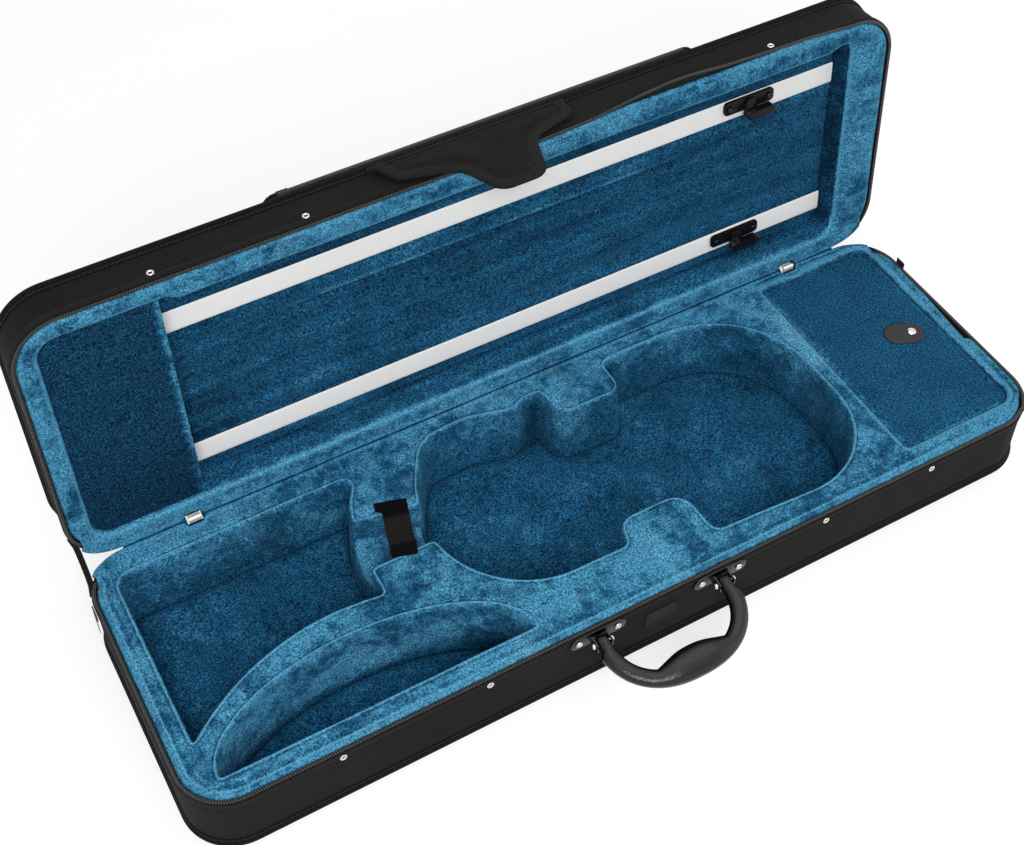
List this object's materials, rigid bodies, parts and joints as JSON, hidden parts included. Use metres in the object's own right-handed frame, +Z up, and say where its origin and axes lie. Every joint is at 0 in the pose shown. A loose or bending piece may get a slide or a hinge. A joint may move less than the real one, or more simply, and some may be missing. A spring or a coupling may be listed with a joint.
{
  "type": "violin case",
  "caption": "Oblong soft violin case standing open, with plush-lined beds, a hinged accessory compartment, bow holders in the lid and a front carrying handle.",
  "frame": {"origin": "centre of the flat underside of the base", "axes": "+X runs along the case towards the accessory compartment, +Y points to the hinge side, +Z is up"},
  "size_m": [0.7938, 0.3922, 0.3273],
  "materials": {
    "black_fabric": "black woven nylon over padding",
    "black_ribbon": "ribbed black binding tape",
    "blue_plush": "mid-blue velvet plush",
    "deep_blue_plush": "dark blue velvet plush",
    "pale_ribbon": "pale grey satin ribbon",
    "black_plastic": "black moulded plastic",
    "black_grip": "grained black moulded grip",
    "nickel": "nickel-plated steel",
    "hook_tape": "black hook-and-loop tape"
  },
  "bodies": {
    "base": {"base_shell": "black_fabric", "base_binding": "black_ribbon", "base_zip_tape": "black_ribbon", "zip_tail_left": "black_ribbon", "zip_tail_right": "black_ribbon", "base_floor_panel": "deep_blue_plush", "base_foam_insert": "blue_plush", "neck_cradle": "blue_plush", "neck_strap": "hook_tape", "hinge_base_leaf_left": "nickel", "hinge_base_leaf_right": "nickel", "hinge_pin_left": "nickel", "hinge_pin_right": "nickel", "spine_base": "black_fabric", "base_side_rivet_1": "nickel", "base_side_rivet_2": "nickel", "base_side_rivet_3": "nickel", "base_side_rivet_4": "nickel", "handle_bracket_left": "nickel", "handle_bracket_right": "nickel", "bracket_rivet_left_outer": "nickel", "bracket_rivet_left_inner": "nickel", "bracket_rivet_right_outer": "nickel", "bracket_rivet_right_inner": "nickel"},
    "lid": {"lid_shell": "black_fabric", "lid_binding": "black_ribbon", "lid_zip_tape": "black_ribbon", "lid_foam_insert": "blue_plush", "bow_tip_pocket": "deep_blue_plush", "bow_rail_upper": "pale_ribbon", "bow_rail_lower": "pale_ribbon", "bow_holder_plate_upper": "black_plastic", "bow_holder_plate_lower": "black_plastic", "music_pocket": "black_fabric", "music_pocket_zip": "black_ribbon", "flap_root_strip": "black_ribbon", "hinge_lid_leaf_left": "nickel", "hinge_lid_leaf_right": "nickel", "spine_lid": "black_fabric", "lid_side_rivet_1": "nickel", "lid_side_rivet_2": "nickel", "lid_side_rivet_3": "nickel"},
    "accessory": {"accessory_lid": "deep_blue_plush", "pull_tab": "black_grip", "pull_tab_rivet": "nickel"},
    "handle": {"handle_grip": "black_grip", "handle_loop_left": "nickel", "handle_loop_right": "nickel"},
    "flap": {"flap_panel": "black_fabric", "flap_binding": "black_ribbon"},
    "upper_spinner": {"bow_spinner_upper": "black_plastic"},
    "lower_spinner": {"bow_spinner_lower": "black_plastic"},
    "slider_left": {"zip_slider_left": "black_plastic"},
    "slider_right": {"zip_slider_right": "black_plastic"},
    "slider_pocket": {"pocket_slider": "nickel"}
  },
  "joints": [
    {"name": "lid_hinge", "type": "hinge", "parent": "base", "child": "lid", "pos_m": [0, 0.1248, 0.0678], "axis": [1, 0, 0], "range_deg": [0, 94.6]},
    {"name": "accessory_lid_hinge", "type": "hinge", "parent": "base", "child": "accessory", "pos_m": [0.261, 0, 0.0653], "axis": [0, 1, 0], "range_deg": [-100, 0]},
    {"name": "handle_swing", "type": "hinge", "parent": "base", "child": "handle", "pos_m": [-0.0028, -0.133, 0.0572], "axis": [-1, 0, 0], "range_deg": [0, 70]},
    {"name": "flap_lift", "type": "hinge", "parent": "lid", "child": "flap", "pos_m": [0, 0.17537, 0.32106], "axis": [1, 0, 0], "range_deg": [-100, 0]},
    {"name": "upper_spinner_turn", "type": "hinge", "parent": "lid", "child": "upper_spinner", "pos_m": [0.2575, 0.16054, 0.25634], "axis": [0, 0.9968, -0.0802], "range_deg": [0, 90]},
    {"name": "lower_spinner_turn", "type": "hinge", "parent": "lid", "child": "lower_spinner", "pos_m": [0.251, 0.14899, 0.11281], "axis": [0, 0.9968, -0.0802], "range_deg": [-90, 0]},
    {"name": "slider_left_run", "type": "slide", "parent": "base", "child": "slider_left", "axis": [0, -1, 0], "range_m": [0, 0.15]},
    {"name": "slider_right_run", "type": "slide", "parent": "base", "child": "slider_right", "axis": [0, -1, 0], "range_m": [0, 0.15]},
    {"name": "pocket_slider_run", "type": "slide", "parent": "lid", "child": "slider_pocket", "axis": [1, 0, 0], "range_m": [0, 0.355]}
  ]
}
